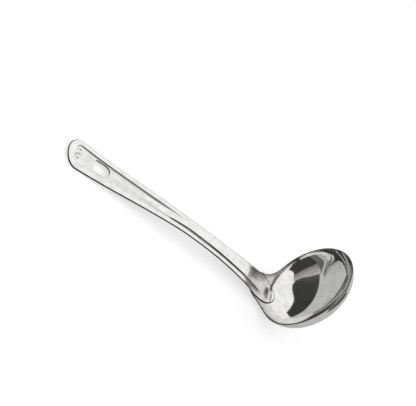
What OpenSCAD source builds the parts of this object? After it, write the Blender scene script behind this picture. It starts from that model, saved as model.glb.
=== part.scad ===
// Soup ladle of polished sheet steel, lying on a table as it is put down: the back of the neck
// and the tip of the handle touch the table, and the bowl stands almost on its side.
// It is two pressings, a bowl and a handle, lapped and spot welded at the neck.
// Millimetres, +X from the handle's tip to the bowl, +Z up, and z = 0 is the table.

/* [Bowl] */
// Radius of the bowl's rim
rim_r = 45; // [40:0.5:52]
// Depth of the bowl, from the plane of the rim to the outside of its bottom
bowl_depth = 25; // [22:0.5:29]
// Radius of the bend between the bowl's round bottom and its wall
bend_r = 23; // [19:0.5:25]
// Angle by which the wall leans outwards at the rim
wall_lean = 11; // [6:0.5:14]
// Thickness of the bowl's sheet
bowl_t = 1.2; // [0.8:0.1:1.8]
// Angle by which the open side looks up while the ladle lies down
lie_angle = 22; // [19:0.5:25]

/* [Neck of the bowl] */
// Radius of the hollow curve that leads from the rim up to the neck, on each side
shoulder_r = 16; // [13:0.5:19]
// Distance between the middle plane and the centre of that curve
shoulder_y = 30; // [28:0.5:34]
// Height above the rim at which the shoulders end and the lap begins
shoulder_top = 10.5; // [8:0.5:12]
// Radius of the rounded tongue that backs the handle
tab_r = 16.3; // [14:0.1:17.5]
// Height of that tongue's centre above the rim
tab_n = 5; // [3:0.5:7]
// Clearance between the two lapped sheets
lap_gap = 0.1; // [0.08:0.01:0.2]

/* [Handle] */
// Thickness of the handle's sheet
handle_t = 1.5; // [1:0.1:2]
// Length from the ladle's lowest point under the bowl to the handle's tip
handle_len = 232; // [200:1:270]
// Slope of the handle at its tip, in degrees
tip_angle = -0.5; // [-2:0.5:4]
// Half width of the tip
tip_w = 15.8; // [14:0.1:18]
// Length of the tip's round end
tip_round = 14; // [11:0.1:17]
// Half width of the waist, the narrowest place
waist_w = 8.6; // [8:0.1:10.5]
// Distance from the ladle's lowest point to the waist
waist_len = 102; // [85:1:115]
// Amount by which the tip's edges turn down below its middle
tip_crown = 2.4; // [0.5:0.1:3]

/* [Foot of the handle] */
// Half width of the foot, where it laps over the bowl's neck
foot_w = 13; // [12:0.1:14]
// Length of the foot's round end
foot_round = 22; // [18:0.5:24]
// Reach of the foot past the ladle's lowest point
foot_reach = 6; // [5:0.2:7]

/* [Panel and rib] */
// Depth of the sunken panel at the tip
panel_depth = 1; // [0.6:0.1:1.6]
// Width of the flat border between the panel and the tip's edge
panel_border = 5.5; // [4.5:0.1:6.5]
// Width of the border at the tip's round end
panel_end = 8; // [7:0.2:11]
// Length of the point between the panel's two lobes
cusp_len = 3; // [1.5:0.5:5]
// Height of the rib
rib_h = 2.7; // [1.5:0.1:3.2]
// Half width of the rib at its foot
rib_w = 4.5; // [4:0.1:5.2]
// Half width of the rib at its nose
nose_w = 6.4; // [5.5:0.1:7.2]
// Reach of the rib's nose past the ladle's lowest point
nose_reach = 4; // [2:0.2:4.6]
// Width that the rib's flanks and the panel's walls take
flank = 1.4; // [1:0.1:1.7]
// Distance from the ladle's lowest point to the place where the panel has become level
level_len = 138; // [125:1:150]

/* [Hang slot] */
// Width of the slot
slot_w = 12; // [9:0.2:13]
// Length of the slot, from its straight end to its round end
slot_len = 16.4; // [13:0.2:21]
// Distance from the handle's tip to the slot's straight end
slot_from_tip = 28.5; // [27:0.5:38]
// Radius of the two corners at the straight end
slot_corner = 2; // [0.5:0.1:3]

/* [Hidden] */
steel = [0.80, 0.81, 0.82];
bright_steel = [0.86, 0.87, 0.88];
eps = 0.01;
clear = 1;
high = 60;
right_angle = 90;
half_turn = 180;

// The bowl's outer profile is a round bottom, a bend and a straight wall that leans outwards. It
// is turned about the bowl's axis. r is a distance from the axis and n a height above the rim.
bend_c = rim_r - bend_r * cos(wall_lean);
bend_n = bend_r * sin(wall_lean);
bend_up = bend_n + bowl_depth;
base_r = (bend_c * bend_c + bend_up * bend_up - bend_r * bend_r) / (2 * (bend_up - bend_r));
base_angle = asin(bend_c / (base_r - bend_r));
wall_angle = right_angle - wall_lean;
base_len = base_r * base_angle * PI / half_turn;
curve_len = base_len + bend_r * (wall_angle - base_angle) * PI / half_turn;

// Place of the rim's centre once the ladle lies on the back of the bend
mid_x = bend_c * sin(lie_angle) + bend_n * cos(lie_angle);
mid_z = bend_r + bend_c * cos(lie_angle) - bend_n * sin(lie_angle);

// Greatest X of the bowl, on its round bottom
bowl_x = mid_x - (base_r - bowl_depth) * cos(lie_angle) + base_r;

// The handle's foot lies on this bend and wall, inside the bowl's sheet. wall_x is where the wall
// starts, and the handle leaves it at neck_x, a little above the tongue that backs it.
lap_r = bend_r - bowl_t - lap_gap;
wall_rise = lie_angle - wall_lean;
wall_x = -lap_r * sin(wall_rise);
neck_margin = 2.3;
neck_up = (tab_n + tab_r) / cos(wall_lean) + neck_margin;
neck_x = wall_x - neck_up * cos(wall_rise);
neck_z = lap_r * (1 - cos(wall_rise)) + bowl_t + lap_gap + neck_up * sin(wall_rise);

// Stations along the handle
tip_x = -handle_len;
tip_c = tip_x + tip_round;
waist_x = -waist_len;
level_x = -level_len;
foot_c = foot_reach - foot_round;
nose_round = 9;
nose_c = nose_reach - nose_round;
panel_w = tip_w - panel_border;
lobe_r = panel_w / 2;
panel_c = tip_x + panel_end + lobe_r;
rib_back = 12;
rib_x = waist_x - rib_back;
taper_p = 1.15;
flare_p = 3.5;
panel_p = 1.5;
rib_full = 30;
panel_full = 45;
dish_len = 30;
crown_len = 90;
min_lobe = 0.3;

// Smooth step from 0 to 1 as t goes from 0 to 1
function smooth(t) = let (c = min(1, max(0, t))) c * c * (3 - 2 * c);
// Part of an ellipse's half width left at the share u of its half length
function round_end(u) = sqrt(max(0, 1 - u * u));

// Point [r, n] of the bowl's profile at the length l from the bottom, moved inwards by depth
function profile(l, depth) =
    l < base_len ? let (a = l / base_r * half_turn / PI)
        [(base_r - depth) * sin(a), base_r - bowl_depth - (base_r - depth) * cos(a)] :
    let (
        a = min(wall_angle, base_angle + (l - base_len) / bend_r * half_turn / PI),
        past = max(0, l - curve_len))
        [bend_c + (bend_r - depth) * sin(a) + past * sin(wall_lean),
         bend_n - (bend_r - depth) * cos(a) + past * cos(wall_lean)];

// Half of the bowl's edge as [azimuth, height above the rim]: round the tongue, down the hollow
// shoulder and along the rim
tab_low = asin((shoulder_top - tab_n) / tab_r);
tab_side = tab_r * cos(tab_low);
hollow_low = asin((shoulder_r - shoulder_top) / shoulder_r);
tab_steps = 12;
hollow_steps = 14;
rim_steps = 21;
min_step = 0.5;
function azimuth(p) = asin(p[0] / (rim_r + p[1] * tan(wall_lean)));
neck_edge = [for (p = concat(
    [for (i = [0 : tab_steps]) let (a = right_angle - (right_angle - tab_low) * i / tab_steps)
        [tab_r * cos(a), tab_n + tab_r * sin(a)]],
    [for (i = [0 : hollow_steps]) let (
        a = hollow_low + (right_angle - hollow_low) * i / hollow_steps,
        y = shoulder_y - shoulder_r * cos(a))
        if (y > tab_side + min_step) [y, shoulder_r * (1 - sin(a))]])) [azimuth(p), p[1]]];
rim_from = neck_edge[len(neck_edge) - 1][0];
half_edge = concat(neck_edge,
    [for (i = [1 : rim_steps]) [rim_from + (half_turn - rim_from) * i / rim_steps, 0]]);
edge = concat(half_edge, [for (i = [len(half_edge) - 2 : -1 : 1]) [-half_edge[i][0], half_edge[i][1]]]);

// A point of the bowl: ring i of the given count, column j, moved inwards by depth
rings = 18;
ring_p = 0.7;
function bowl_point(i, j, depth) = let (
    full = curve_len + edge[j][1] / cos(wall_lean),
    p = profile(full * pow(i / rings, ring_p), depth),
    side = p[0] * cos(edge[j][0]))
    [mid_x - side * sin(lie_angle) - p[1] * cos(lie_angle), p[0] * sin(edge[j][0]),
     mid_z - side * cos(lie_angle) + p[1] * sin(lie_angle)];

// Half width of the handle: a taper from the tip to the waist, a flare to the foot, round ends
function half_w(x) =
    x < tip_c ? tip_w * round_end((tip_c - x) / tip_round) :
    x < waist_x ? waist_w + (tip_w - waist_w) * pow((waist_x - x) / (waist_x - tip_c), taper_p) :
    x < foot_c ? waist_w + (foot_w - waist_w) * pow((x - waist_x) / (foot_c - waist_x), flare_p) :
    foot_w * round_end((x - foot_c) / foot_round);

// Half width of the panel and, past the waist, of the rib, which ends in a round nose
function relief_w(x) =
    x < panel_c ? lobe_r + lobe(x) :
    x < rib_x ? rib_w + (panel_w - rib_w) * pow((rib_x - x) / (rib_x - panel_c), panel_p) :
    x < nose_c ? rib_w + (nose_w - rib_w) * pow((x - rib_x) / (nose_c - rib_x), 2) :
    max(min_lobe, nose_w * round_end((x - nose_c) / nose_round));

// Half width of one of the panel's two round lobes
function lobe(x) = max(min_lobe, lobe_r * round_end((panel_c - x) / lobe_r));
// Distance from the middle plane to the inner side of a lobe
function cusp_w(x) = x < panel_c ? lobe_r - lobe(x) : min_lobe;
// Share of the full height that the point between the lobes has
function cusp_h(x) = 1 - smooth((x - panel_c) / cusp_len);

// Height of the relief: below zero in the sunken panel, above zero on the rib
function relief_h(x) =
    x < level_x ? -panel_depth * smooth((level_x - x) / panel_full)
        * (x < panel_c ? smooth(lobe(x) / flank - min_lobe) : 1) :
    rib_h * smooth((x - level_x) / rib_full)
        * smooth((nose_reach - x) / (nose_reach - neck_x));

// Height of the sheet's back along the middle line: the bowl's wall and bend at the foot, then an
// arch that meets it without a kink and comes down at the tip (a cubic with given ends and slopes)
arch_len = neck_x - tip_x;
function arch(t, z0, m0, z1, m1) =
    z0 * (1 + 2 * t) * (1 - t) * (1 - t) + m0 * t * (1 - t) * (1 - t)
    + z1 * t * t * (3 - 2 * t) + m1 * t * t * (t - 1);
function line_z(x, tip_z) =
    x < neck_x ? arch((x - tip_x) / arch_len, tip_z, arch_len * tan(tip_angle),
        neck_z, -arch_len * tan(wall_rise)) :
    x < wall_x ? neck_z - (x - neck_x) * tan(wall_rise) :
    bend_r - sqrt(lap_r * lap_r - x * x);

// Distance from the bowl's axis to the middle line of the handle's back
function lap_radius(x) =
    x < wall_x ? bend_c + lap_r * cos(wall_lean) + (wall_x - x) * sin(wall_lean) / cos(wall_rise) :
    bend_c + lap_r * cos(lie_angle + asin(x / lap_r));
// Distance that a point beside the middle line is moved towards the bowl's axis, so that the foot
// follows the bowl's turned wall
function fold(x, y) = let (r = lap_radius(max(x, neck_x)))
    (r - sqrt(r * r - y * y)) * smooth(1 - (neck_x - x) / dish_len);
// Drop of a point beside the middle line, where the handle is crowned towards the tip
function crown(x, y) = tip_crown * pow(y / tip_w, 2) * smooth((waist_x - x) / crown_len);

// Rows of the sheet's grid, from the tip to the foot
round_steps = 13;
lobe_steps = 9;
cusp_steps = 3;
foot_steps = 12;
row_step = 4.8;
neck_step = 2.2;
row_gap = 0.25;
function turn(i, steps) = right_angle * (i - 0.5) / steps;
tip_rows = [for (i = [round_steps : -1 : 1]) tip_c - tip_round * sin(turn(i, round_steps))];
lobe_rows = [for (i = [lobe_steps : -1 : 1]) panel_c - lobe_r * sin(turn(i, lobe_steps))];
cusp_rows = [for (i = [0 : cusp_steps]) panel_c + cusp_len * i / cusp_steps];
mid_start = panel_c + cusp_len + clear;
mid_n = ceil((neck_x - mid_start) / row_step);
mid_rows = [for (i = [0 : mid_n - 1]) mid_start + (neck_x - mid_start) * i / mid_n];
neck_n = ceil((nose_c - neck_x) / neck_step);
neck_rows = [for (i = [0 : neck_n - 1]) neck_x + (nose_c - neck_x) * i / neck_n];
nose_rows = [for (i = [0 : lobe_steps - 1]) nose_c + nose_round * sin(right_angle * i / lobe_steps)];
foot_rows = [for (i = [1 : foot_steps]) foot_c + foot_round * sin(turn(i, foot_steps))];
function spaced(list) = [for (i = [0 : len(list) - 1])
    if (i == 0 || list[i] - list[i - 1] > row_gap) list[i]];
function sorted(v) = len(v) < 2 ? v : let (
    p = v[floor(len(v) / 2)],
    low = [for (x = v) if (x < p) x],
    mid = [for (x = v) if (x == p) x],
    top = [for (x = v) if (x > p) x])
    concat(sorted(low), mid, sorted(top));
front_rows = [for (x = concat(tip_rows, lobe_rows)) if (x < panel_c) x];
end_rows = [for (x = foot_rows) if (x > nose_c) x];
rows = spaced(sorted(concat(front_rows, cusp_rows, mid_rows, neck_rows, nose_rows, end_rows)));

// Lowest point of the tip's back if the middle of the tip stood at z = 0; the tip is lifted by it
tip_low = min([for (x = rows) if (x < tip_c + tip_round) line_z(x, 0) - crown(x, half_w(x))]);
tip_z = -tip_low;

// Columns of one half, as distances from the middle plane. The back's flank is moved sideways
// by the amount that keeps the sheet's thickness through the slope.
cusp_share = 0.3;
relief_share = 0.75;
run_share = 0.4;
run_min = 2.2;
quarters = [0.75, 0.5, 0.25];
function columns(x, side) = let (
    w = half_w(x),
    q = min(cusp_w(x), w * cusp_share),
    p0 = min(relief_w(x), w * relief_share),
    run = min(flank, (p0 - q) * run_share),
    shift = side * handle_t * tan(atan(relief_h(x) / flank) / 2),
    p = max(q + run_min * run, p0 - shift))
    concat([0, q, q + run / 2, q + run, (q + p) / 2, p - run],
        [for (s = quarters) p - run * s], [p, (p + w) / 2, w]);
cols = 12;
last = cols - 1;
// Share of the relief's height at each column, for the flank and for the point of the cusp
flank_s = concat([1, 1, 1, 1, 1, 1], [for (s = quarters) smooth(s)], [0, 0, 0]);
cusp_s = [0, 0, smooth(quarters[1]), 1, 1, 1, 1, 1, 1, 1, 1, 1];

// One point of the sheet. side is 0 on the front face and 1 on the back.
function sheet_point(x, j, side) = let (
    k = abs(j - last),
    y = columns(x, side)[k],
    rise = relief_h(x) * flank_s[k] * (1 - cusp_h(x) * (1 - cusp_s[k])),
    up = line_z(x, tip_z) - crown(x, y) + rise + (side == 0 ? handle_t : 0))
    [x + fold(x, y) * sin(lie_angle), (j < last ? -1 : 1) * y, up + fold(x, y) * cos(lie_angle)];

// Closed sheet over a grid: front face, back face, two long edges and two ends
module sheet() {
    m = len(rows);
    n = 2 * cols - 1;
    pts = concat(
        [for (x = rows) for (j = [0 : n - 1]) sheet_point(x, j, 0)],
        [for (x = rows) for (j = [0 : n - 1]) sheet_point(x, j, 1)]);
    function f(i, j) = i * n + j;
    function b(i, j) = m * n + i * n + j;
    faces = concat(
        [for (i = [0 : m - 2]) for (j = [0 : n - 2]) each
            [[f(i, j), f(i, j + 1), f(i + 1, j + 1)], [f(i, j), f(i + 1, j + 1), f(i + 1, j)]]],
        [for (i = [0 : m - 2]) for (j = [0 : n - 2]) each
            [[b(i, j), b(i + 1, j + 1), b(i, j + 1)], [b(i, j), b(i + 1, j), b(i + 1, j + 1)]]],
        [for (i = [0 : m - 2]) each
            [[f(i, 0), f(i + 1, 0), b(i + 1, 0)], [f(i, 0), b(i + 1, 0), b(i, 0)]]],
        [for (i = [0 : m - 2]) each
            [[f(i, n - 1), b(i + 1, n - 1), f(i + 1, n - 1)], [f(i, n - 1), b(i, n - 1), b(i + 1, n - 1)]]],
        [for (j = [0 : n - 2]) each
            [[f(0, j), b(0, j), b(0, j + 1)], [f(0, j), b(0, j + 1), f(0, j + 1)]]],
        [for (j = [0 : n - 2]) each
            [[f(m - 1, j), f(m - 1, j + 1), b(m - 1, j + 1)], [f(m - 1, j), b(m - 1, j + 1), b(m - 1, j)]]]);
    polyhedron(points = pts, faces = faces);
}

// Closed shell: outer face, inner face and the cut edge, with one point at the bottom of each face
module shell() {
    n = len(edge);
    pts = concat(
        [bowl_point(0, 0, 0)], [for (i = [1 : rings]) for (j = [0 : n - 1]) bowl_point(i, j, 0)],
        [bowl_point(0, 0, bowl_t)],
        [for (i = [1 : rings]) for (j = [0 : n - 1]) bowl_point(i, j, bowl_t)]);
    inside = 1 + rings * n;
    function o(i, j) = i == 0 ? 0 : 1 + (i - 1) * n + j % n;
    function c(i, j) = inside + o(i, j);
    faces = concat(
        [for (j = [0 : n - 1]) each
            [[o(0, 0), o(1, j), o(1, j + 1)], [c(0, 0), c(1, j + 1), c(1, j)]]],
        [for (i = [1 : rings - 1]) for (j = [0 : n - 1]) each
            [[o(i, j), o(i + 1, j), o(i + 1, j + 1)], [o(i, j), o(i + 1, j + 1), o(i, j + 1)]]],
        [for (i = [1 : rings - 1]) for (j = [0 : n - 1]) each
            [[c(i, j), c(i + 1, j + 1), c(i + 1, j)], [c(i, j), c(i, j + 1), c(i + 1, j + 1)]]],
        [for (j = [0 : n - 1]) each
            [[o(rings, j), c(rings, j), c(rings, j + 1)], [o(rings, j), c(rings, j + 1), o(rings, j + 1)]]]);
    polyhedron(points = pts, faces = faces);
}

// Outline of the hang slot: a straight end with small corners towards the tip, a round end
// towards the bowl
module slot_outline() {
    half = slot_w / 2;
    start = tip_x + slot_from_tip;
    centre = start + slot_len - half;
    translate([centre, 0]) circle(half, $fn = 64);
    translate([start + slot_corner, -half]) square([centre - start - slot_corner, slot_w]);
    translate([start, slot_corner - half]) square([slot_corner + eps, slot_w - 2 * slot_corner]);
    for (side = [-1, 1]) {
        translate([start + slot_corner, side * (half - slot_corner)]) circle(slot_corner, $fn = 32);
    }
}

// Pressed bowl, with the two hollow shoulders and the tongue that backs the handle
module bowl() {
    color(bright_steel) shell();
}

// Pressed handle: one sheet with a sunken panel at the tip, a rib along the middle and a foot
module handle() {
    color(steel) difference() {
        sheet();
        translate([0, 0, -clear]) linear_extrude(high) slot_outline();
    }
}

// The origin is below the middle of the length
module placed() {
    translate([(handle_len - bowl_x) / 2, 0, 0]) children();
}

placed() bowl();
placed() handle();
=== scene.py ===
"""Soup ladle of polished sheet steel, lying on a white table.

Both pressings are worked out as smooth surfaces with numpy, in metres, by the formulas of the solids
they stand for. The bowl and the handle's outline have the solids' sizes. The handle's relief has
finer ones of its own: a narrow step, a swell in the panel, a lower rib, a thinned foot and two pits.
Every finish is made of shader nodes.
"""

import bmesh
import bpy
import numpy as np
from mathutils import Matrix, Vector


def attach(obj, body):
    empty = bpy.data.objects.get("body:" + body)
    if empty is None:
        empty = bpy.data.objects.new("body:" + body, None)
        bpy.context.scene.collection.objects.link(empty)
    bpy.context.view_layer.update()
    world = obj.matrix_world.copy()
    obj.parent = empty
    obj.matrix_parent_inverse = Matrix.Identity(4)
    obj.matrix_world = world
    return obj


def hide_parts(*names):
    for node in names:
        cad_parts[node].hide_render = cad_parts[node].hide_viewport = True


MM = 0.001

# Sizes of the bowl
RIM_R = 45 * MM
BOWL_DEPTH = 25 * MM
BEND_R = 23 * MM
WALL_LEAN = np.radians(11)
BOWL_T = 1.2 * MM
LIE_ANGLE = np.radians(22)
SHOULDER_R = 16 * MM
SHOULDER_Y = 30 * MM
SHOULDER_TOP = 10.5 * MM
TAB_R = 16.3 * MM
TAB_N = 5 * MM
LAP_GAP = 0.1 * MM

# Sizes of the handle's sheet and outline
HANDLE_T = 1.5 * MM
HANDLE_LEN = 232 * MM
TIP_ANGLE = np.radians(-0.5)
TIP_W = 15.8 * MM
TIP_ROUND = 14 * MM
WAIST_W = 8.6 * MM
WAIST_LEN = 102 * MM
TIP_TAPER = 1.15
TIP_CROWN = 2.4 * MM
CROWN_LEN = 90 * MM
FOOT_W = 13 * MM
FOOT_FLARE = 3.5
FOOT_ROUND = 22 * MM
FOOT_REACH = 6 * MM
FOOT_THIN = 0.6
FOOT_THIN_X = -36 * MM
FOOT_THIN_LEN = 24 * MM
FOLD_LEN = 30 * MM
ARCH_CLEAR = 2.3 * MM

# Sizes of the sunken panel, with the powers of its taper
PANEL_DEPTH = 0.95 * MM
PANEL_SWELL = 0.9 * MM
SWELL_LEN = 12 * MM
PANEL_BORDER = 6 * MM
PANEL_END = 8 * MM
PANEL_TAPER = 1.33
PANEL_FADE = 90 * MM
CUSP_LEN = 3 * MM
STEP_W = 0.75 * MM
LEVEL_LEN = 140 * MM
PIT_DEPTH = 0.9 * MM
PIT_R = 1.4 * MM
PIT_FROM_TIP = 11.8 * MM

# Sizes of the raised rib and its nose
RIB_H = 2.2 * MM
RIB_W = 4.8 * MM
RIB_GROW = 36 * MM
FLANK = 1.6 * MM
FLANK_NARROW = 60 * MM
NOSE_W = 6.4 * MM
NOSE_FLARE = 2
NOSE_REACH = 4 * MM
NOSE_ROUND = 9 * MM
NOSE_FALL = 19 * MM

# Sizes of the hang slot
SLOT_W = 12 * MM
SLOT_LEN = 16.4 * MM
SLOT_FROM_TIP = 28.5 * MM
SLOT_CORNER = 2 * MM

# The mesh of the handle: the step between its rows, the shares of the half width that its columns
# keep to, the reach of the slot's cutter below and above the table, and the angle of a sharp edge
ROW_STEP = 0.5 * MM
LINE_LOW = 0.1
LINE_HIGH = 0.86
CUTTER_LOW = 5 * MM
CUTTER_HIGH = 20 * MM
SHARP_ANGLE = np.radians(65)

# Shares of the steel's colour under smudges and under the painted shade on the relief's flanks
SMUDGE_SHADE = 0.84
FLANK_SHADE_SHARE = 0.35

# The table: its colour, its glow for the camera and for mirrored rays, and the height of the flat
# shades that lie over it
TABLE_SHADE = 0.46
TABLE_GLOW = 0.56
TABLE_MIRRORED = 0.05
SHADE_Z = 0.4 * MM

# The table's half length and the ball of cards that the steel mirrors, in metres. The cards start
# a degree under the ball's equator, so that no gap shows above the table
TABLE = 4
CARD_BALL = 3
CARD_FOOT = -1

# The photograph's width in pixels and its pixels per mm at the ladle, the camera's axes, the place
# at the picture's centre in mm, the camera's distance from it in metres, and its sensor's width
PICTURE_W = 416
PIXELS_PER_MM = 1.1361
CAMERA_RIGHT = (0.7540, 0.2599, 0.6033)
CAMERA_BACK = (-0.3345, -0.6386, 0.6930)
CAMERA_AIM = (4.63, 36.63, 11.33)
CAMERA_DISTANCE = 4.6
SENSOR_W = 36

# The bowl's profile: a round bottom, a bend and a straight wall, worked out from its sizes
BEND_C = RIM_R - BEND_R * np.cos(WALL_LEAN)
BEND_N = BEND_R * np.sin(WALL_LEAN)
BEND_UP = BEND_N + BOWL_DEPTH
BASE_R = (BEND_C**2 + BEND_UP**2 - BEND_R**2) / (2 * (BEND_UP - BEND_R))
BASE_ANGLE = np.arcsin(BEND_C / (BASE_R - BEND_R))
WALL_ANGLE = np.pi / 2 - WALL_LEAN
BASE_LEN = BASE_R * BASE_ANGLE
CURVE_LEN = BASE_LEN + BEND_R * (WALL_ANGLE - BASE_ANGLE)
MID_X = BEND_C * np.sin(LIE_ANGLE) + BEND_N * np.cos(LIE_ANGLE)
MID_Z = BEND_R + BEND_C * np.cos(LIE_ANGLE) - BEND_N * np.sin(LIE_ANGLE)
BOWL_X = MID_X - (BASE_R - BOWL_DEPTH) * np.cos(LIE_ANGLE) + BASE_R
CENTRE_X = (HANDLE_LEN - BOWL_X) / 2

# The bend and wall that the handle's foot lies on, and the stations along the handle
LAP_R = BEND_R - BOWL_T - LAP_GAP
WALL_RISE = LIE_ANGLE - WALL_LEAN
WALL_X = -LAP_R * np.sin(WALL_RISE)
NECK_UP = (TAB_N + TAB_R) / np.cos(WALL_LEAN) + ARCH_CLEAR
NECK_X = WALL_X - NECK_UP * np.cos(WALL_RISE)
NECK_Z = LAP_R * (1 - np.cos(WALL_RISE)) + BOWL_T + LAP_GAP + NECK_UP * np.sin(WALL_RISE)
TIP_X = -HANDLE_LEN
TIP_C = TIP_X + TIP_ROUND
WAIST_X = -WAIST_LEN
LEVEL_X = -LEVEL_LEN
PANEL_STOP = LEVEL_X + 104 * MM
RIB_START = LEVEL_X + 10 * MM
FLANK_START = LEVEL_X - 32 * MM
RIB_X = WAIST_X - 12 * MM
FOOT_C = FOOT_REACH - FOOT_ROUND
NOSE_C = NOSE_REACH - NOSE_ROUND
PANEL_W = TIP_W - PANEL_BORDER
LOBE_R = PANEL_W / 2
PANEL_C = TIP_X + PANEL_END + LOBE_R
ARCH_LEN = NECK_X - TIP_X
# Where the painted shade on the relief's flanks fades out
FLANK_SHADE_STOP = LEVEL_X + 40 * MM
FLANK_SHADE_FADE = 40 * MM

# The satin zone at the neck: its middle, its even core, its reach and its extra roughness
SATIN_PLACE = (CENTRE_X - 18 * MM, 0, 8 * MM)
SATIN_CORE = 12 * MM
SATIN_REACH = 32 * MM
SATIN_ROUGH = 0.12


def ramp(start, end, x):
    """Share of the way from start to end, held between 0 and 1."""
    return np.clip((x - start) / (end - start), 0, 1)


def smooth(t):
    """Smooth step: 3t^2 - 2t^3 with t held between 0 and 1."""
    t = np.clip(t, 0, 1)
    return t * t * (3 - 2 * t)


def slope(t):
    """The flank of a pressing, rising from 0 to 1: a tight parabola of width a at the outer line,
    c t^2 / (2a), a straight part of rise c, c (t - a/2), and a wide parabola of width b at the inner
    line, 1 - c (1 - t)^2 / (2b). The three parts meet when c = 1 / (1 - (a + b) / 2)."""
    a, b = 0.12, 0.45
    c = 1 / (1 - (a + b) / 2)
    t = np.clip(t, 0, 1)
    outer = c * t * t / (2 * a)
    inner = 1 - c * (1 - t) ** 2 / (2 * b)
    return np.select([t < a, t < 1 - b], [outer, c * (t - a / 2)], inner)


def round_end(u):
    """Half width of an ellipse at the share u of its half length: the root of 1 - u^2."""
    return np.sqrt(np.clip(1 - u * u, 0, 1))


def make_mesh(name, points, faces, mats):
    """A smooth-shaded mesh from whole arrays: a point or a face is a row."""
    mesh = bpy.data.meshes.new(name)
    mesh.from_pydata(points.tolist(), [], faces.tolist())
    mesh.validate()
    mesh.update()
    for mat in mats:
        mesh.materials.append(mat)
    mesh.polygons.foreach_set("use_smooth", np.ones(len(mesh.polygons), bool))
    obj = bpy.data.objects.new(name, mesh)
    bpy.context.scene.collection.objects.link(obj)
    return obj


def ring_quads(rows, cols):
    """Quads of a grid of rows whose columns run round and close."""
    i = np.arange(rows - 1)[:, None] * cols
    j = np.arange(cols)[None, :]
    k = (j + 1) % cols
    return np.stack([i + j, i + cols + j, i + cols + k, i + k], -1).reshape(-1, 4)


def weld(obj, distance=1e-6):
    """Joins the points that a pole or a closed end has in one place, and drops empty faces."""
    bm = bmesh.new()
    bm.from_mesh(obj.data)
    bmesh.ops.remove_doubles(bm, verts=bm.verts, dist=distance)
    bmesh.ops.dissolve_degenerate(bm, edges=bm.edges, dist=distance / 2)
    bmesh.ops.recalc_face_normals(bm, faces=bm.faces)
    bm.to_mesh(obj.data)
    bm.free()
    obj.data.update()


# The bowl


def neck_edge(steps):
    """The bowl's edge on one side of the handle, as azimuths and heights above the rim: a circle arc
    round the tongue, then a hollow arc down to the rim. A point's azimuth follows from its distance
    across and the radius that the leaning wall has at its height."""
    a = np.linspace(np.pi / 2, np.arcsin((SHOULDER_TOP - TAB_N) / TAB_R), steps)
    tab = np.stack([TAB_R * np.cos(a), TAB_N + TAB_R * np.sin(a)], -1)
    low = np.arcsin((SHOULDER_R - SHOULDER_TOP) / SHOULDER_R)
    b = np.linspace(low, np.pi / 2, steps)
    hollow = np.stack([SHOULDER_Y - SHOULDER_R * np.cos(b), SHOULDER_R * (1 - np.sin(b))], -1)
    hollow = hollow[hollow[:, 0] > tab[-1, 0] + 0.5 * MM]
    line = np.concatenate([tab, hollow])
    return np.arcsin(line[:, 0] / (RIM_R + line[:, 1] * np.tan(WALL_LEAN))), line[:, 1]


def profile(length, depth):
    """Distance from the bowl's axis and height above the rim at a length from the bottom along the
    outer profile, moved inwards by depth: an arc, a tighter arc that it runs into, a straight wall."""
    a = np.clip(length / BASE_R, 0, BASE_ANGLE)
    b = np.clip(BASE_ANGLE + (length - BASE_LEN) / BEND_R, BASE_ANGLE, WALL_ANGLE)
    past = np.maximum(length - CURVE_LEN, 0)
    low = length < BASE_LEN
    r = np.where(
        low, (BASE_R - depth) * np.sin(a), BEND_C + (BEND_R - depth) * np.sin(b) + past * np.sin(WALL_LEAN)
    )
    n = np.where(
        low,
        BASE_R - BOWL_DEPTH - (BASE_R - depth) * np.cos(a),
        BEND_N - (BEND_R - depth) * np.cos(b) + past * np.cos(WALL_LEAN),
    )
    return r, n


def bowl_place(r, n, azimuth):
    """Where a point of the profile comes to lie once the bowl is turned down on its side."""
    side = r * np.cos(azimuth)
    x = MID_X - side * np.sin(LIE_ANGLE) - n * np.cos(LIE_ANGLE) + CENTRE_X
    z = MID_Z - side * np.cos(LIE_ANGLE) + n * np.sin(LIE_ANGLE)
    return np.stack([x, r * np.sin(azimuth), z], -1)


def bowl_surface(mats):
    """A turned shell: for each azimuth the length runs from the bottom to the edge on the outer
    face, round a half circle at the cut edge, and back to the bottom on the inner face."""
    near, near_n = neck_edge(60)
    far = np.linspace(near[-1], np.pi, 91)[1:]
    half = np.concatenate([near, far])
    half_n = np.concatenate([near_n, 0 * far])
    azimuth = np.concatenate([half, -half[1:-1][::-1]])
    full = CURVE_LEN + np.concatenate([half_n, half_n[1:-1][::-1]]) / np.cos(WALL_LEAN)
    steps = 90
    share = np.linspace(0, 1, steps + 1) ** 0.8
    turn = np.linspace(0, np.pi, 11)[1:-1]
    e = BOWL_T / 2
    along = np.concatenate([share, np.ones(len(turn)), share[::-1]])
    past = np.concatenate([np.zeros(steps + 1), e * np.sin(turn), np.zeros(steps + 1)])
    depth = np.concatenate([np.zeros(steps + 1), e - e * np.cos(turn), np.full(steps + 1, BOWL_T)])
    length = along[:, None] * (full - e)[None, :] + past[:, None]
    r, n = profile(length, depth[:, None])
    points = bowl_place(r, n, azimuth[None, :])
    rows, cols = length.shape
    obj = make_mesh("ladle_bowl", points.reshape(-1, 3), ring_quads(rows, cols), mats)
    face_row = np.repeat(np.arange(rows - 1), cols)
    is_edge = (face_row >= steps) & (face_row < steps + len(turn) + 1)
    is_outer = (face_row >= steps) & (face_row < steps + 4)
    obj.data.polygons.foreach_set("material_index", is_edge.astype(np.int32) + is_outer)
    weld(obj)
    return obj


# The handle


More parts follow.
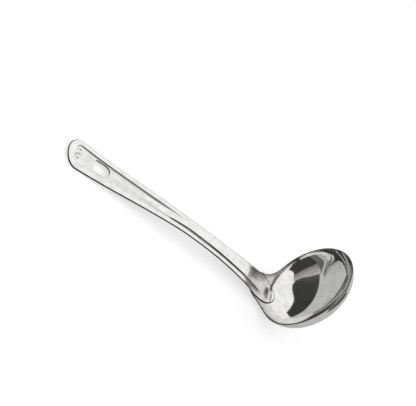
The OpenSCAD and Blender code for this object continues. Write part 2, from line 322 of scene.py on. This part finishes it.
def half_w(x):
    """Half width: an ellipse at each end, a power-law taper to the waist, a steeper flare after."""
    tip = TIP_W * round_end((TIP_C - x) / TIP_ROUND)
    taper = WAIST_W + (TIP_W - WAIST_W) * ramp(WAIST_X, TIP_C, x) ** TIP_TAPER
    flare = WAIST_W + (FOOT_W - WAIST_W) * ramp(WAIST_X, FOOT_C, x) ** FOOT_FLARE
    foot = FOOT_W * round_end((x - FOOT_C) / FOOT_ROUND)
    return np.select([x < TIP_C, x < WAIST_X, x < FOOT_C], [tip, taper, flare], foot)


def lobe(x):
    """Half width of one of the panel's two round lobes."""
    return np.where(x < PANEL_C, LOBE_R * round_end((PANEL_C - x) / LOBE_R), LOBE_R)


def relief_w(x):
    """Half width of the panel and rib: lobes, a power-law taper, a widening, a round nose."""
    taper = RIB_W + (PANEL_W - RIB_W) * ramp(RIB_X, PANEL_C, x) ** PANEL_TAPER
    widen = RIB_W + (NOSE_W - RIB_W) * ramp(RIB_X, NOSE_C, x) ** NOSE_FLARE
    nose = NOSE_W * round_end((x - NOSE_C) / NOSE_ROUND)
    return np.select([x < PANEL_C, x < RIB_X, x < NOSE_C], [LOBE_R + lobe(x), taper, widen], nose)


def relief(x, y):
    """Height of the pressed relief: a step down at its outer line, which runs out where the rib
    starts, a swell between the two lines that narrows and grows into the rib, a cusp between the
    lobes, and a small round pit in each lobe."""
    deep = PANEL_DEPTH * smooth((PANEL_STOP - x) / PANEL_FADE)
    in_lobes = x < PANEL_C
    from_lobe = LOBE_R - np.hypot(PANEL_C - x, np.abs(y) - LOBE_R)
    outer = np.where(in_lobes, from_lobe, relief_w(x) - np.abs(y))
    cusp = 1 - smooth((x - PANEL_C) / CUSP_LEN)
    split = np.where(in_lobes, 1, 1 - cusp * (1 - slope(np.abs(y) / STEP_W)))
    share = smooth((x - RIB_START) / RIB_GROW)
    rib = (RIB_H + deep) * smooth((NOSE_REACH - x) / NOSE_FALL)
    swell = PANEL_SWELL * smooth((x - PANEL_C) / SWELL_LEN) * (1 - share) + rib * share
    narrow = smooth((x - FLANK_START) / FLANK_NARROW)
    run = relief_w(x) * (1 - narrow) + FLANK * narrow
    inset = 0.6 * STEP_W * deep / PANEL_DEPTH
    pit = smooth(1 - np.hypot(x - TIP_X - PIT_FROM_TIP, np.abs(y) - LOBE_R) / PIT_R)
    return swell * slope((outer - inset) / run) - deep * slope(outer / STEP_W) * split - PIT_DEPTH * pit


def line_z(x, tip_z):
    """Height of the back along the middle: a cubic arch from the tip, then the straight wall and
    the bend that the foot lies on."""
    t = (x - TIP_X) / ARCH_LEN
    arch = (
        tip_z * (1 + 2 * t) * (1 - t) ** 2
        + ARCH_LEN * np.tan(TIP_ANGLE) * t * (1 - t) ** 2
        + NECK_Z * t * t * (3 - 2 * t)
        - ARCH_LEN * np.tan(WALL_RISE) * t * t * (t - 1)
    )
    wall = NECK_Z - (x - NECK_X) * np.tan(WALL_RISE)
    bend = BEND_R - np.sqrt(np.maximum(LAP_R**2 - x * x, 0))
    return np.select([x < NECK_X, x < WALL_X], [arch, wall], bend)


def fold(x, y):
    """How far a point beside the middle line is moved towards the bowl's axis, so that the foot
    follows the turned wall: the rise of a circle whose radius is the distance from the axis."""
    x = np.maximum(x, NECK_X)
    on_wall = BEND_C + LAP_R * np.cos(WALL_LEAN) + (WALL_X - x) * np.sin(WALL_LEAN) / np.cos(WALL_RISE)
    on_bend = BEND_C + LAP_R * np.cos(LIE_ANGLE + np.arcsin(np.clip(x / LAP_R, -1, 1)))
    r = np.where(x < WALL_X, on_wall, on_bend)
    return r - np.sqrt(r * r - y * y)


def thinned(x):
    """Share of the full thickness: the foot is hammered thinner towards its end."""
    return 1 - FOOT_THIN * smooth((x - FOOT_THIN_X) / FOOT_THIN_LEN)


def sheet_point(x, y, up):
    """A point of the handle above its back: folded towards the bowl's axis near the foot, crowned
    towards the tip."""
    moved = fold(x, y) * smooth(1 - (NECK_X - x) / FOLD_LEN)
    crown = TIP_CROWN * (y / TIP_W) ** 2 * smooth((WAIST_X - x) / CROWN_LEN)
    z = line_z(x, TIP_Z) - crown + up + moved * np.cos(LIE_ANGLE)
    return np.stack([x + moved * np.sin(LIE_ANGLE) + CENTRE_X, y, z], -1)


def breaks(values, counts):
    """Points along rows of breakpoints: counts[k] equal steps from breakpoint k to k + 1."""
    parts = []
    for k, n in enumerate(counts):
        t = np.linspace(0, 1, n + 1)[:-1]
        parts.append(values[k][:, None] * (1 - t) + values[k + 1][:, None] * t)
    parts.append(values[-1][:, None])
    return np.concatenate(parts, 1)


def handle_rows():
    """Stations from the tip to the foot's end: even turns on both round ends, even steps between."""
    tip = TIP_C - TIP_ROUND * np.sin(np.linspace(np.pi / 2, 0, 50))
    middle = np.arange(TIP_C, FOOT_C, ROW_STEP)[1:]
    foot = FOOT_C + FOOT_ROUND * np.sin(np.linspace(0, np.pi / 2, 60))
    return np.concatenate([tip, middle, foot])


def outline_normal(x, w):
    """Unit normal of the outline, from its direction by central differences. At both ends the
    outline runs straight across."""
    dx, dw = np.gradient(x), np.gradient(w)
    dx[[0, -1]] = 0
    dw[[0, -1]] = 1, -1
    length = np.hypot(dx, dw)
    return -dw / length, dx / length


def across_face(x, w):
    """Points across each row from edge to edge, closest together on the relief's flanks. The
    relief's line is held between two shares of the half width, so that columns never cross."""
    line = np.clip(relief_w(x), LINE_LOW * w, LINE_HIGH * w)
    flank = np.minimum(1.4 * FLANK, line / 2)
    half = breaks([0 * w, line - flank, line, w], [12, 20, 8])
    return np.concatenate([-half[:, :0:-1], half], 1)


def flank_shade_amount(x, y):
    """How much painted shade the relief's flanks get, standing in for their darker reflections: the
    relief's steepness, by central differences, which fades out where the rib starts."""
    d = 0.1 * MM
    along = relief(x + d, y) - relief(x - d, y)
    across = relief(x, y + d) - relief(x, y - d)
    steep = np.clip(np.hypot(along, across) / (2 * d), 0, 1)
    return steep * smooth((FLANK_SHADE_STOP - x) / FLANK_SHADE_FADE)


def handle_surface(mats):
    """A closed sheet: rows follow the outline from tip to foot. Each row crosses the front face,
    rounds one cut edge in a half circle, crosses the back face and rounds the other edge."""
    rows_x = handle_rows()
    rows_w = half_w(rows_x)
    nx, ny = outline_normal(rows_x, rows_w)
    e = HANDLE_T / 2
    face_x = rows_x - e * nx
    face_w = np.maximum(rows_w - e * ny, 0)
    y = across_face(face_x, face_w)
    x = np.repeat(face_x[:, None], y.shape[1], 1)
    raised = relief(x, y)

    def cap(sign):
        turn = np.linspace(0, np.pi, 9)[1:-1]
        out = e * np.sin(turn)
        cap_x = face_x[:, None] + nx[:, None] * out
        cap_y = sign * (face_w[:, None] + ny[:, None] * out)
        return sheet_point(cap_x, cap_y, (e + e * np.cos(turn)[None, :]) * thinned(cap_x))

    front = sheet_point(x, y, raised + HANDLE_T * thinned(x))
    back = sheet_point(x, y, raised)
    right = cap(1)
    left = cap(-1)[:, ::-1]
    points = np.concatenate([front, right, back[:, ::-1], left], 1)
    rows, cols = points.shape[:2]
    obj = make_mesh("ladle_handle", points.reshape(-1, 3), ring_quads(rows, cols)[:, ::-1], mats)
    n_face, n_cap = front.shape[1], right.shape[1]
    # Painted shade on the relief's flanks, carried to the shader by this attribute
    painted_flank_shade = np.zeros((rows, cols))
    painted_flank_shade[:, :n_face] = flank_shade_amount(x, y)
    layer = obj.data.attributes.new("painted_flank_shade", "FLOAT", "POINT")
    layer.data.foreach_set("value", painted_flank_shade.ravel())
    col = np.tile(np.arange(cols), rows - 1)
    on_right = (col >= n_face - 1) & (col < n_face + n_cap)
    on_left = col >= 2 * n_face + n_cap - 1
    obj.data.polygons.foreach_set("material_index", (on_right | on_left).astype(np.int32))
    weld(obj)
    return obj


def slot_cutter(mats):
    """A prism with the slot's outline: a half circle at one end, two small corners at the other."""
    half = SLOT_W / 2
    start = TIP_X + SLOT_FROM_TIP
    centre = start + SLOT_LEN - half
    a = np.linspace(-np.pi / 2, np.pi / 2, 49)
    big = np.stack([centre + half * np.cos(a), half * np.sin(a)], -1)
    b = np.linspace(np.pi / 2, np.pi, 13)
    small = np.stack(
        [start + SLOT_CORNER + SLOT_CORNER * np.cos(b), half - SLOT_CORNER + SLOT_CORNER * np.sin(b)], -1
    )
    outline = np.concatenate([big, small, small[::-1] * [1, -1]])
    outline[:, 0] += CENTRE_X
    n = len(outline)
    low = np.column_stack([outline, np.full(n, -CUTTER_LOW)])
    high = np.column_stack([outline, np.full(n, CUTTER_HIGH)])
    i = np.arange(n)
    k = (i + 1) % n
    mesh = bpy.data.meshes.new("slot_cutter")
    sides = np.stack([i, k, k + n, i + n], -1).tolist()
    mesh.from_pydata(np.concatenate([low, high]).tolist(), [], sides + [i[::-1].tolist(), (i + n).tolist()])
    for mat in mats:
        mesh.materials.append(mat)
    mesh.polygons.foreach_set("material_index", np.ones(len(mesh.polygons), np.int32))
    obj = bpy.data.objects.new("slot_cutter", mesh)
    bpy.context.scene.collection.objects.link(obj)
    return obj


def cut_slot(handle, mats):
    """Takes the slot's prism out of the handle, and keeps the finished mesh."""
    cutter = slot_cutter(mats)
    mod = handle.modifiers.new("slot", "BOOLEAN")
    mod.operation = "DIFFERENCE"
    mod.solver = "EXACT"
    mod.object = cutter
    bpy.context.view_layer.update()
    done = bpy.data.meshes.new_from_object(handle.evaluated_get(bpy.context.evaluated_depsgraph_get()))
    handle.modifiers.clear()
    handle.data = done
    done.name = "ladle_handle"
    bpy.data.objects.remove(cutter)
    done.polygons.foreach_set("use_smooth", np.ones(len(done.polygons), bool))
    done.set_sharp_from_angle(angle=SHARP_ANGLE)


def tip_lift():
    """Height of the tip that puts the lowest point of its underside on the table."""
    x = TIP_C - TIP_ROUND * np.sin(np.linspace(np.pi / 2, -np.pi / 2, 200))
    return float(-np.min(line_z(x, 0.0) - TIP_CROWN * (half_w(x) / TIP_W) ** 2))


TIP_Z = tip_lift()


# Finishes


def node_tree(name):
    """A new material with only its output node."""
    mat = bpy.data.materials.new(name)
    mat.use_nodes = True
    tree = mat.node_tree
    tree.nodes.clear()
    out = tree.nodes.new("ShaderNodeOutputMaterial")
    return mat, tree, out


def noise(tree, vector, scale, detail):
    """The grey output of a noise texture."""
    node = tree.nodes.new("ShaderNodeTexNoise")
    node.inputs["Scale"].default_value = scale
    node.inputs["Detail"].default_value = detail
    tree.links.new(vector, node.inputs["Vector"])
    return node.outputs["Fac"]


def two_tones(tree, factor, low, high, start=0, end=1):
    """A colour that runs from low to high as the factor goes from start to end."""
    node = tree.nodes.new("ShaderNodeValToRGB")
    for element, position, colour in zip(node.color_ramp.elements, (start, end), (low, high)):
        element.position = position
        element.color = (*colour, 1)
    tree.links.new(factor, node.inputs[0])
    return node.outputs[0]


def shaded(colour, share):
    """A share of a colour."""
    return [share * c for c in colour]


def metal(tree, out):
    """A metal shader on the material's output, and the object coordinates for its textures."""
    shader = tree.nodes.new("ShaderNodeBsdfPrincipled")
    shader.inputs["Metallic"].default_value = 1
    tree.links.new(shader.outputs[0], out.inputs["Surface"])
    return shader, tree.nodes.new("ShaderNodeTexCoord").outputs["Object"]


def paint_flank_shade(tree, tint, colour):
    """The tint with painted shade over it where the mesh's attribute says so, which darkens the relief's
    flanks.
    """
    painted_flank_shade = tree.nodes.new("ShaderNodeAttribute")
    painted_flank_shade.attribute_name = "painted_flank_shade"
    mix = tree.nodes.new("ShaderNodeMix")
    mix.data_type = "RGBA"
    mix.inputs[7].default_value = (*shaded(colour, FLANK_SHADE_SHARE), 1)
    tree.links.new(painted_flank_shade.outputs["Fac"], mix.inputs[0])
    tree.links.new(tint, mix.inputs[6])
    return mix.outputs[2]


def satin_neck(tree, coords):
    """Extra roughness round the neck, which is less of a mirror than the rest."""
    near = tree.nodes.new("ShaderNodeVectorMath")
    near.operation = "DISTANCE"
    near.inputs[1].default_value = SATIN_PLACE
    tree.links.new(coords, near.inputs[0])
    satin = tree.nodes.new("ShaderNodeMapRange")
    satin.interpolation_type = "SMOOTHSTEP"
    satin.inputs["From Min"].default_value = SATIN_CORE
    satin.inputs["From Max"].default_value = SATIN_REACH
    satin.inputs["To Min"].default_value = SATIN_ROUGH
    satin.inputs["To Max"].default_value = 0
    tree.links.new(near.outputs["Value"], satin.inputs["Value"])
    return satin.outputs[0]


def polished_steel(name, colour, rough_low, rough_high, stretch):
    """Polished sheet: a metal with faint smudges and waves, whose roughness varies in fine streaks
    that stretch draws out, and is higher at the neck."""
    mat, tree, out = node_tree(name)
    new, link = tree.nodes.new, tree.links.new
    shader, coords = metal(tree, out)
    smudges = noise(tree, coords, 170, 4)
    tint = two_tones(tree, smudges, shaded(colour, SMUDGE_SHADE), colour, 0.3, 0.6)
    # The base colour takes painted shade on the relief's flanks
    link(paint_flank_shade(tree, tint, colour), shader.inputs["Base Color"])
    scaled = new("ShaderNodeMapping")
    scaled.inputs["Scale"].default_value = stretch
    link(coords, scaled.inputs["Vector"])
    rough = new("ShaderNodeMapRange")
    rough.inputs["To Min"].default_value = rough_low
    rough.inputs["To Max"].default_value = rough_high
    link(noise(tree, scaled.outputs[0], 60, 5), rough.inputs["Value"])
    total = new("ShaderNodeMath")
    link(rough.outputs[0], total.inputs[0])
    link(satin_neck(tree, coords), total.inputs[1])
    link(total.outputs[0], shader.inputs["Roughness"])
    bump = new("ShaderNodeBump")
    bump.inputs["Strength"].default_value = 0.08
    bump.inputs["Distance"].default_value = 0.2 * MM
    link(noise(tree, coords, 45, 1), bump.inputs["Height"])
    link(bump.outputs[0], shader.inputs["Normal"])
    return mat


def cut_edge(name, low, high, roughness):
    """Cut edge of the sheet: darker than its faces, partly as duller sheared steel and partly as painted
    shade for the shadow and dark reflections along a thin edge, with fine marks in two greys.
    """
    mat, tree, out = node_tree(name)
    shader, coords = metal(tree, out)
    tone = two_tones(tree, noise(tree, coords, 900, 3), [low] * 3, [high] * 3)
    tree.links.new(tone, shader.inputs["Base Color"])
    shader.inputs["Roughness"].default_value = roughness
    return mat


# The studio


def table_material():
    """White table top. It glows for the camera, so that it is white where no shadow falls, and a
    little for mirrored rays, which see it as the pale grey that a table is under a softbox."""
    mat, tree, out = node_tree("white_table")
    new, link = tree.nodes.new, tree.links.new
    diffuse = new("ShaderNodeBsdfDiffuse")
    diffuse.inputs["Color"].default_value = (TABLE_SHADE, TABLE_SHADE, TABLE_SHADE, 1)
    glow = new("ShaderNodeEmission")
    path = new("ShaderNodeLightPath")
    parts = []
    for ray, strength in (("Is Camera Ray", TABLE_GLOW), ("Is Glossy Ray", TABLE_MIRRORED)):
        part = new("ShaderNodeMath")
        part.operation = "MULTIPLY"
        part.inputs[1].default_value = strength
        link(path.outputs[ray], part.inputs[0])
        parts.append(part)
    level = new("ShaderNodeMath")
    level.operation = "ADD"
    link(parts[0].outputs[0], level.inputs[0])
    link(parts[1].outputs[0], level.inputs[1])
    link(level.outputs[0], glow.inputs["Strength"])
    add = new("ShaderNodeAddShader")
    link(diffuse.outputs[0], add.inputs[0])
    link(glow.outputs[0], add.inputs[1])
    link(add.outputs[0], out.inputs["Surface"])
    return mat


def sky_card(name, stations):
    """A plain card seen only in mirrored rays: a strip of a ball round the ladle, up from the table.
    Each station has an azimuth and the strip's height, in degrees, and its shade; both run straight
    between stations."""
    mat, tree, out = node_tree(name)
    glow = tree.nodes.new("ShaderNodeEmission")
    tone = tree.nodes.new("ShaderNodeAttribute")
    tone.attribute_name = "shade"
    tree.links.new(tone.outputs["Color"], glow.inputs["Color"])
    tree.links.new(glow.outputs[0], out.inputs["Surface"])
    azimuths, tops, shades = np.array(stations, float).T
    fine = np.linspace(azimuths[0], azimuths[-1], 80)
    share = np.linspace(0, 1, 13)[:, None]
    height = np.radians(CARD_FOOT + (np.interp(fine, azimuths, tops) - CARD_FOOT) * share)
    turn = np.radians(fine)[None, :] + 0 * height
    across = np.cos(height)
    ball = np.stack([across * np.cos(turn), across * np.sin(turn), np.sin(height)], -1)
    points = CARD_BALL * ball
    rows, cols = height.shape
    quads = ring_quads(rows, cols).reshape(rows - 1, cols, 4)[:, :-1].reshape(-1, 4)
    obj = make_mesh(name, points.reshape(-1, 3), quads, [mat])
    colour = np.ones((rows, cols, 4))
    colour[:, :, :3] = np.interp(fine, azimuths, shades)[None, :, None] * np.array([1, 0.99, 0.97])
    layer = obj.data.color_attributes.new("shade", "FLOAT_COLOR", "POINT")
    layer.data.foreach_set("color", colour.ravel())
    only_mirrored(obj)


def floor_card(name, corners, shade):
    """A flat shade of the table that only mirrored rays see."""
    mat, tree, out = node_tree(name)
    glow = tree.nodes.new("ShaderNodeEmission")
    glow.inputs["Color"].default_value = (shade, shade, shade, 1)
    tree.links.new(glow.outputs[0], out.inputs["Surface"])
    points = np.array([(x, y, SHADE_Z) for x, y in corners])
    only_mirrored(make_mesh(name, points, np.array([range(len(corners))]), [mat]))


def only_mirrored(obj):
    """Leaves a card to mirrored rays."""
    obj.visible_camera = False
    obj.visible_diffuse = False
    obj.visible_shadow = False


def area_light(name, place, target, size, watts):
    """A square soft light."""
    lamp = bpy.data.lights.new(name, "AREA")
    lamp.energy = watts
    lamp.size = size
    obj = bpy.data.objects.new(name, lamp)
    obj.location = place
    obj.rotation_euler = (Vector(target) - Vector(place)).to_track_quat("-Z", "Y").to_euler()
    bpy.context.scene.collection.objects.link(obj)
    return obj


def studio():
    """Table, lights and the dark surroundings that the steel mirrors."""
    corners = np.array([[-1, -1, 0], [1, -1, 0], [1, 1, 0], [-1, 1, 0]]) * TABLE
    floor = make_mesh("table_top", corners, np.array([[0, 1, 2, 3]]), [table_material()])
    world = bpy.data.worlds.new("studio")
    world.use_nodes = True
    backdrop = world.node_tree.nodes["Background"]
    backdrop.inputs["Color"].default_value = (1, 1, 1, 1)
    backdrop.inputs["Strength"].default_value = 1
    bpy.context.scene.world = world
    key = area_light("key", (1.4, 1.3, 1.5), (0, 0, 0), 1.2, 14)
    key.visible_glossy = False
    back = [(112, 2, 0.045), (118, 14, 0.045), (143, 25.5, 0.045), (161, 37.5, 0.05)]
    sky_card("dark_back", back + [(173, 42, 0.055), (179, 44, 0.06), (189.5, 43, 0.1)])
    sky_card("grey_side", [(189.5, 49, 0.47), (203, 50.5, 0.37), (225, 54, 0.18)])
    sky_card("dark_front", [(225, 52, 0.05), (282, 53, 0.05), (290, 24, 0.05), (324, 12, 0.05)])
    right = [(324, 8, 0.25), (345, 9, 0.22), (352, 9, 0.09), (383, 9, 0.09)]
    sky_card("dark_right", right + [(392, 11, 0.2), (400, 16, 0.08), (422, 14, 0.1)])
    floor_card("shade_right", [(0.42, -0.1), (3, -0.7), (3, 1.0), (0.42, 0.16)], 0.12)
    near_line = [(-0.5, -0.055), (0.03, -0.055), (0.06, -0.085), (0.125, -0.085), (0.17, -0.3)]
    floor_card("shade_front", near_line + [(0.6, -3), (-2.8, -3), (-2.8, -1.2)], 0.15)


def camera():
    """Long lens, tilted as the photograph is. Its axes are the photograph's right, up and back."""
    right = Vector(CAMERA_RIGHT).normalized()
    back = Vector(CAMERA_BACK).normalized()
    up = back.cross(right).normalized()
    right = up.cross(back)
    data = bpy.data.cameras.new("camera")
    data.sensor_width = SENSOR_W
    data.lens = SENSOR_W * CAMERA_DISTANCE / (PICTURE_W / PIXELS_PER_MM * MM)
    data.clip_end = 20
    obj = bpy.data.objects.new("camera", data)
    turn = Matrix((right, up, back)).transposed().to_4x4()
    place = Vector(CAMERA_AIM) * MM + back * CAMERA_DISTANCE
    obj.matrix_world = Matrix.Translation(place) @ turn
    bpy.context.scene.collection.objects.link(obj)
    bpy.context.scene.camera = obj


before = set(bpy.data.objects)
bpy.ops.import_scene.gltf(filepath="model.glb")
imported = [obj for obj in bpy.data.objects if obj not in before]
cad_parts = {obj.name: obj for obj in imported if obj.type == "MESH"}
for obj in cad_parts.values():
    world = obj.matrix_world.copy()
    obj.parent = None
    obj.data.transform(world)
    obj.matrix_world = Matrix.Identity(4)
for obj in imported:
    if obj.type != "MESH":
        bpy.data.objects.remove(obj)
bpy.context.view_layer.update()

camera()
studio()
# Near-black cut edges and a dark grey rim edge: duller sheared steel and painted shade together
edge = cut_edge("sheared_edge_and_painted_shade", 0.02, 0.08, 0.35)
rim = cut_edge("rim_edge_and_painted_shade", 0.16, 0.3, 0.12)
bowl_steel = polished_steel("bowl_steel", (0.86, 0.855, 0.845), 0.05, 0.09, (1, 1, 1))
handle_steel = polished_steel("handle_steel", (0.89, 0.885, 0.875), 0.05, 0.10, (0.2, 3, 3))

bowl = bowl_surface([bowl_steel, rim, edge])
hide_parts("bowl")
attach(bowl, "root")

handle = handle_surface([handle_steel, edge])
cut_slot(handle, [handle_steel, edge])
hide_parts("handle")
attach(handle, "root")

view = bpy.context.scene.view_settings
view.view_transform = "Standard"
